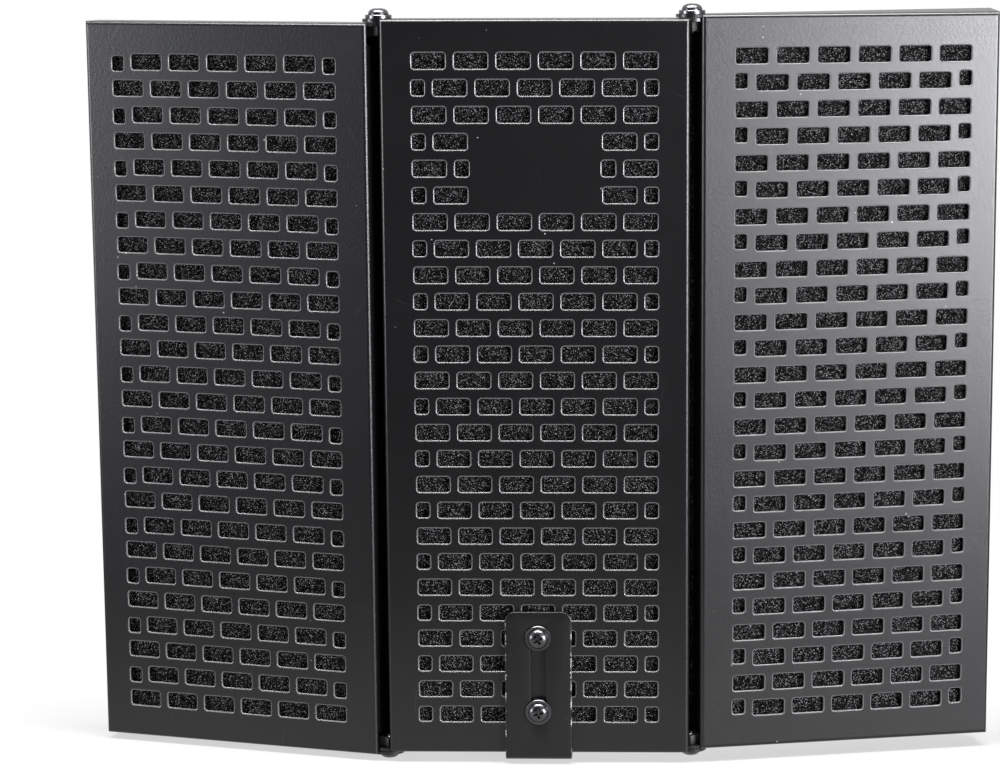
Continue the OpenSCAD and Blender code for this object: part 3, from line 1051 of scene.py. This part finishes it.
def padMesh(leftHinge, rightHinge):
    sheet, depth, gap = panel["sheet"], panel["depth"], foam["gap"]
    tall = halfPanel - sheet - gap
    inner = panel["width"] / 2 - sheet - gap
    bm = bmesh.new()
    # front block, inside the tray
    reliefWide, reliefTall = foam["relief"]
    front, far = sheet + foam["setBack"], depth + gap + foam["edge"]
    size = Matrix.Diagonal((2 * inner, far - front, 2 * tall, 1))
    made = bmesh.ops.create_cube(
        bm, size=1, matrix=Matrix.Translation((0, (front + far) / 2, 0)) @ size)
    roundOff(bm, list({e for v in made["verts"] for e in v.link_edges}), foam["edge"], 2)
    for side, hinge in ((-1, leftHinge), (1, rightHinge)):
        for end in (-1, 1):
            if hinge:
                xCut = side * (panel["width"] / 2 - reliefWide)
                zCut = end * (halfPanel - reliefTall)
                for place, normal in (((xCut, 0, 0), (1, 0, 0)), ((0, 0, zCut), (0, 0, 1))):
                    slicedAt(bm, place, normal)
                gone = [f for f in bm.faces
                        if side * f.calc_center_median().x > side * xCut
                        and end * f.calc_center_median().z > end * zCut]
                bmesh.ops.delete(bm, geom=gone, context="FACES")
                bmesh.ops.holes_fill(bm, edges=boundaryEdges(bm), sides=0)
    # back slab with its pyramids
    low, high = -padEdge(leftHinge, foam["valley"]), padEdge(rightHinge, foam["valley"])
    across, up, steps = foam["across"], foam["up"], foam["steps"]
    upright = (Matrix.Translation(((low + high) / 2, foam["valley"], 0))
               @ Matrix.Rotation(math.pi / 2, 4, "X")
               @ Matrix.Diagonal((high - low, 2 * tall, 1, 1)))
    made = bmesh.ops.create_grid(bm, x_segments=across * steps, y_segments=up * steps,
                                 size=0.5, matrix=upright)
    grid = made["verts"]
    rim = list({e for v in grid for e in v.link_edges if len(e.link_faces) == 1})
    for vert in grid:
        u = (vert.co.x - low) / (high - low) * across
        v = (vert.co.z + tall) / (2 * tall) * up
        rise = pyramidHeight(2 * (u - math.floor(u)) - 1, 2 * (v - math.floor(v)) - 1)
        vert.co.y += (foam["back"] - foam["valley"]) * rise
    made = bmesh.ops.extrude_edge_only(bm, edges=rim)
    nearRim = vertsIn(made)
    nearEdges = [e for e in made["geom"] if isinstance(e, bmesh.types.BMEdge)
                 and e.verts[0] in nearRim and e.verts[1] in nearRim]
    for vert in nearRim:
        hinge = rightHinge if vert.co.x > 0 else leftHinge
        share = vert.co.x / (high if vert.co.x > 0 else -low)
        vert.co.x = share * padEdge(hinge, depth + gap)
        vert.co.y = depth + gap
    bmesh.ops.holes_fill(bm, edges=nearEdges, sides=0)
    bmesh.ops.recalc_face_normals(bm, faces=bm.faces)
    smoothFaces(bm, 0.9)
    return bm


def makePads():
    centreLeft, centreRight = ((panel["centreReach"], foldOf(side)) for side in (-1, 1))
    left, right = ((panel["sideReach"], foldOf(side)) for side in (-1, 1))
    pads = (
        ("centrePad", "centre_panel", "centre_foam", padMesh(centreLeft, centreRight),
         centrePlace()),
        ("leftPad", "left_panel", "left_foam", padMesh(None, left), sidePlace(-1)),
        ("rightPad", "right_panel", "right_foam", padMesh(right, None), sidePlace(1)),
    )
    for name, body, node, bm, place in pads:
        pad = addPiece(bm, name, "foam", body, [node], place)


makePads()
print("pads ready")


# ---- screws, washers and nuts ----

hardware = {
    "shank": 2.1,
    "threadDepth": 0.32,
    "pitch": 0.7,
    "headRadius": 4.2,
    "headHeight": 2.6,
    "recessWide": 1.3,
    "recessLong": 5.0,
    "recessDeep": 1.9,
    "recessTaper": 0.6,
    "washerRadius": 5.4,
    "washerHeight": 1.1,
    "hingeWasherHeight": 1.6,
    "washerEdge": 0.22,
    "stack": 2.8,         # two ears and the washer between them
    "nutFlats": 8.7,
    "nutHeight": 4.0,
    "nutEdge": 0.35,
    "hingeTurns": {(-1, 1): 20, (1, 1): 64, (-1, -1): 35, (1, -1): 8},
    "bracketTurns": (28, 12),
}


def carve(bm, cutter):
    # takes the cutter's volume out of a closed mesh
    objects = [bpy.data.objects.new("carved", asMesh(part, "carved")) for part in (bm, cutter)]
    for item in objects:
        bpy.context.scene.collection.objects.link(item)
    modifier = objects[0].modifiers.new("cut", "BOOLEAN")
    modifier.object = objects[1]
    modifier.solver = "EXACT"
    graph = bpy.context.evaluated_depsgraph_get()
    result = bmesh.new()
    result.from_mesh(objects[0].evaluated_get(graph).to_mesh())
    for item in objects:
        mesh = item.data
        bpy.data.objects.remove(item)
        bpy.data.meshes.remove(mesh)
    return result


def threadPoints(crest, root, pitch, start, end):
    # crests and roots of a thread's ridges between two heights, in that order
    turns = max(1, int(abs(end - start) / pitch))
    step = (end - start) / turns
    points = []
    for turn in range(turns):
        for radius, share in ((crest, 0.10), (crest, 0.22), (root, 0.55), (root, 0.72)):
            points.append((radius, start + (turn + share) * step))
    return points


def crossCutter():
    # tapered cross of a recess, its mouth above the head's top
    bm = bmesh.new()
    deep, tall, wide = (hardware[key] for key in ("recessDeep", "recessLong", "recessWide"))
    tip, side = tall / 2, wide / 2
    corner = [(tip, -side), (tip, side), (side, side)]
    verts = []
    for turn in range(4):
        spin = Matrix.Rotation(turn * math.pi / 2, 4, "Z")
        verts += [bm.verts.new(spin @ Vector((x, y, 1))) for x, y in corner]
    bm.faces.new(verts)
    made = bmesh.ops.extrude_face_region(bm, geom=bm.faces[:], use_keep_orig=True)
    for vert in vertsIn(made):
        vert.co = vert.co * hardware["recessTaper"]
        vert.co.z = -deep
    closeUp(bm)
    bmesh.ops.translate(bm, verts=bm.verts, vec=(0, 0, hardware["headHeight"]))
    return bm


def screwMesh(length):
    # underside of the head on z = 0, shank pointing down
    high, wide, shank = (hardware[key] for key in ("headHeight", "headRadius", "shank"))
    profile = [(0, high), (1.5, high - 0.05), (2.6, high - 0.30), (3.45, high - 0.80),
               (4.0, high - 1.50), (wide, high - 2.05), (wide, 0.25), (4.05, 0.06), (3.9, 0),
               (shank, 0), (shank, -2.4)]
    root = shank - hardware["threadDepth"]
    profile += threadPoints(shank, root, hardware["pitch"], -2.6, 0.5 - length)
    profile += [(root - 0.1, -length), (0, -length)]
    bm = bmesh.new()
    turned(bm, profile, 36)
    closeUp(bm)
    bm = carve(bm, crossCutter())
    smoothFaces(bm)
    return asMesh(bm, "screw")


def washerMesh(outer, bore, height):
    edge = hardware["washerEdge"]
    bm = bmesh.new()
    turned(bm, [(bore, 0), (outer - edge, 0), (outer, edge), (outer, height - edge),
                (outer - edge, height), (bore + edge, height), (bore, height - edge),
                (bore, 0)], 48)
    closeUp(bm)
    smoothFaces(bm)
    return asMesh(bm, "washer")


def nutMesh():
    # hexagon with its corners turned down, on z = 0
    bm = bmesh.new()
    radius = hardware["nutFlats"] / math.sqrt(3)
    bmesh.ops.create_circle(bm, cap_ends=False, segments=6, radius=radius)
    bmesh.ops.create_circle(bm, cap_ends=False, segments=24, radius=panel["holeRadius"])
    raised(bm, hardware["nutHeight"], hardware["nutEdge"], 0.5)
    smoothFaces(bm, 0.4)
    return asMesh(bm, "nut")


def hingeBase(side, end):
    # outer face of a hinge's ears, pointing outwards
    word = sideWord(side)
    pivot = toMillimetres @ Vector(jointNamed(word + "_panel_fold")["pos_m"])
    if end > 0:
        level = lowMm(word + "_hinge_washer").z
    else:
        level = lowMm(word + "_hinge_screws").z + hardware["headHeight"]
    upside = Matrix.Identity(4) if end > 0 else Matrix.Rotation(math.pi, 4, "X")
    return Matrix.Translation((pivot.x, pivot.y, level)) @ upside


def bracketBases(node, toBase):
    # places of the two bracket screws; toBase is from the node's front to the base
    low, high = lowMm("bracket_washers"), highMm("bracket_washers")
    front = lowMm(node).y + toBase
    forward = Matrix.Rotation(math.pi / 2, 4, "X")
    levels = (high.z - hardware["washerRadius"], low.z + hardware["washerRadius"])
    return [Matrix.Translation((0, front, level)) @ forward for level in levels]


def turnedBy(degrees):
    return Matrix.Rotation(math.radians(degrees), 4, "Z")


def makeFasteners():
    shankLength = hardware["stack"] + hardware["nutHeight"] + 1
    washerHigh, hingeHigh = hardware["washerHeight"], hardware["hingeWasherHeight"]
    short, longer = screwMesh(shankLength), screwMesh(shankLength + hingeHigh)
    ring, hingeRing = (washerMesh(hardware["washerRadius"], panel["holeRadius"], height)
                       for height in (washerHigh, hingeHigh))
    nut = nutMesh()
    lift = Matrix.Translation((0, 0, hingeHigh))
    drop = Matrix.Translation((0, 0, -hardware["stack"] - hardware["nutHeight"]))
    for side in (-1, 1):
        word = sideWord(side)
        top, bottom = hingeBase(side, 1), hingeBase(side, -1)
        screws, nuts, washers = bmesh.new(), bmesh.new(), bmesh.new()
        copyInto(screws, longer, top @ lift @ turnedBy(hardware["hingeTurns"][side, 1]))
        copyInto(screws, short, bottom @ turnedBy(hardware["hingeTurns"][side, -1]))
        copyInto(washers, hingeRing, top)
        for place in (top, bottom):
            copyInto(nuts, nut, place @ drop)
        for bm, kind, look, nodeName in ((screws, "HingeScrews", "zinc", "_hinge_screws"),
                                         (washers, "HingeWasher", "zinc", "_hinge_washer"),
                                         (nuts, "HingeNuts", "nut", "_hinge_nuts")):
            addPiece(bm, word + kind, look, "centre_panel", [word + nodeName])
    screws, nuts, washers = bmesh.new(), bmesh.new(), bmesh.new()
    bases = bracketBases("bracket_screws", hardware["headHeight"])
    length = highMm("bracket_screws").y - lowMm("bracket_screws").y - hardware["headHeight"]
    bolt = screwMesh(length)
    for place, degrees in zip(bases, hardware["bracketTurns"]):
        copyInto(screws, bolt, place @ turnedBy(degrees))
    for place in bracketBases("bracket_washers", washerHigh):
        copyInto(washers, ring, place)
    for place in bracketBases("bracket_nuts", hardware["nutHeight"]):
        copyInto(nuts, nut, place)
    addPiece(screws, "bracketScrews", "zinc", "centre_panel", ["bracket_screws"])
    addPiece(washers, "bracketWashers", "zinc", "centre_panel", ["bracket_washers"])
    addPiece(nuts, "bracketNuts", "nut", "centre_panel", ["bracket_nuts"])
    for mesh in (short, longer, ring, hingeRing, nut, bolt):
        bpy.data.meshes.remove(mesh)


makeFasteners()
print("fasteners ready")


# ---- slotted bracket ----

bracket = {
    "thick": 2.5,
    "bend": 3.0,
    "bendSteps": 10,
    "corner": 4.0,
    "slot": (6.4, 41.3),
    "legSlot": (16.48, 46.48),
    "edge": 0.35,
}


def roundedLoop(bm, x, z, wide, tall, corner, segments):
    # upright outline with round corners; returns its edges
    face = roundedFace(bm, x, z, wide, tall, corner, segments)
    edges = list(face.edges)
    bmesh.ops.delete(bm, geom=[face], context="FACES_ONLY")
    return edges


def makeBracket():
    low, high = lowMm("mount_bracket"), highMm("mount_bracket")
    thick, bend = bracket["thick"], bracket["bend"]
    upright = high.z - low.z - bend
    arc = (bend - thick / 2) * math.pi / 2
    leg = high.y - low.y - bend
    length = upright + arc + leg
    slotWide, slotLong = bracket["slot"]
    legWide, legLong = bracket["legSlot"]
    screwLow, screwHigh = lowMm("bracket_washers"), highMm("bracket_washers")
    slotDown = high.z - (screwLow.z + screwHigh.z) / 2
    legSlotDown = upright + arc - low.y - bend
    bm = bmesh.new()
    edges = roundedLoop(bm, 0, -length / 2, high.x - low.x, length, bracket["corner"], 8)
    edges += roundedLoop(bm, 0, -slotDown, slotWide, slotLong, slotWide / 2 - 0.01, 10)
    edges += roundedLoop(bm, 0, -legSlotDown, legWide, legLong, legWide / 2 - 0.01, 16)
    filled(bm, edges, (0, -1, 0))
    for step in range(bracket["bendSteps"] + 1):
        down = upright + arc * step / bracket["bendSteps"]
        slicedAt(bm, (0, 0, -down), (0, 0, 1))
    made = bmesh.ops.extrude_face_region(bm, geom=bm.faces[:], use_keep_orig=True)
    bmesh.ops.translate(bm, verts=vertsIn(made), vec=(0, thick, 0))
    closeUp(bm)
    rims = [e for e in bm.edges if e.calc_face_angle(0) > 1
            and abs(e.verts[0].co.y - e.verts[1].co.y) < 0.01]
    roundOff(bm, rims, bracket["edge"], 3)
    for vert in bm.verts:
        down, depth = -vert.co.z, vert.co.y
        if down <= upright:
            vert.co.y, vert.co.z = low.y + depth, high.z - down
        elif down < upright + arc:
            turn = (down - upright) / arc * math.pi / 2
            vert.co.y = low.y + bend - (bend - depth) * math.cos(turn)
            vert.co.z = low.z + bend - (bend - depth) * math.sin(turn)
        else:
            vert.co.y, vert.co.z = low.y + bend + down - upright - arc, low.z + depth
    smoothFaces(bm)
    addPiece(bm, "mountBracket", "bracket", "bracket", ["mount_bracket"])


makeBracket()
print("bracket ready")


# ---- stand bush, washer and lock ring ----

stand = {
    "outer": 7.94,
    "outerRoot": 7.35,
    "outerPitch": 0.94,
    "inner": 4.0,
    "innerRoot": 4.6,
    "innerPitch": 1.59,
    "grooveRadius": 7.34,
    "groove": 1.0,
    "flange": 12.0,
    "edge": 0.4,
    "flutes": 16,
    "fluteRadius": 1.2,
    "fluteOut": 0.4,
    "bore": 7.99,
    "ringEdge": 0.15,
    "clear": 0.03,   # gap to the bracket's faces
}


def makeBush():
    high = highMm("stand_bush").z
    flangeTop = lowMm("mount_bracket").z - stand["clear"]
    ringTop = highMm("lock_ring").z
    edge, outer, flange = stand["edge"], stand["outer"], stand["flange"]
    profile = [(stand["innerRoot"], 0), (flange - edge, 0), (flange, edge),
               (flange, flangeTop - edge), (flange - edge, flangeTop), (outer, flangeTop)]
    profile += threadPoints(outer, stand["outerRoot"], stand["outerPitch"], flangeTop, ringTop)
    profile += [(outer, ringTop), (stand["grooveRadius"], ringTop + 0.2),
                (stand["grooveRadius"], ringTop + stand["groove"] - 0.2)]
    profile += threadPoints(outer, stand["outerRoot"], stand["outerPitch"],
                            ringTop + stand["groove"], high - edge)
    profile += [(outer - edge, high), (stand["innerRoot"] + 0.2, high)]
    profile += threadPoints(stand["inner"], stand["innerRoot"], stand["innerPitch"],
                            high - 0.3, 0.3)
    profile.append(profile[0])
    bm = bmesh.new()
    turned(bm, profile, 56)
    closeUp(bm)
    smoothFaces(bm, 0.5)
    addPiece(bm, "standBush", "oxide", "stand_mount", ["stand_bush"])


def makeStandWasher():
    low, high = lowMm("stand_washer"), highMm("stand_washer")
    clear = stand["clear"]
    mesh = washerMesh(stand["flange"], stand["bore"], high.z - low.z - clear)
    bm = bmesh.new()
    copyInto(bm, mesh, Matrix.Translation((0, 0, low.z + clear)))
    bpy.data.meshes.remove(mesh)
    addPiece(bm, "standWasher", "oxide", "stand_mount", ["stand_washer"])


def fluteRadiusAt(angle):
    step = 2 * math.pi / stand["flutes"]
    off = (angle + step / 2) % step - step / 2
    middle = stand["flange"] + stand["fluteOut"]
    sideways = middle * math.sin(off)
    if abs(sideways) >= stand["fluteRadius"]:
        return stand["flange"]
    hollow = middle * math.cos(off) - math.sqrt(stand["fluteRadius"] ** 2 - sideways ** 2)
    return min(stand["flange"], hollow)


def makeLockRing():
    low, high = lowMm("lock_ring"), highMm("lock_ring")
    bm = bmesh.new()
    made = bmesh.ops.create_circle(bm, cap_ends=False, segments=stand["flutes"] * 20,
                                   radius=stand["flange"])
    for vert in made["verts"]:
        share = fluteRadiusAt(math.atan2(vert.co.y, vert.co.x)) / stand["flange"]
        vert.co.x *= share
        vert.co.y *= share
    bmesh.ops.create_circle(bm, cap_ends=False, segments=64, radius=stand["bore"])
    raised(bm, high.z - low.z, stand["ringEdge"], 1)
    bmesh.ops.translate(bm, verts=bm.verts, vec=(0, 0, low.z))
    smoothFaces(bm)
    addPiece(bm, "lockRing", "oxide", "ring", ["lock_ring"])


makeBush()
makeStandWasher()
makeLockRing()
print("stand mount ready")

for node in ("left_friction_washers", "right_friction_washers"):
    data = frame["nodes"][node].data
    data.materials.clear()
    data.materials.append(finish["nylon"])
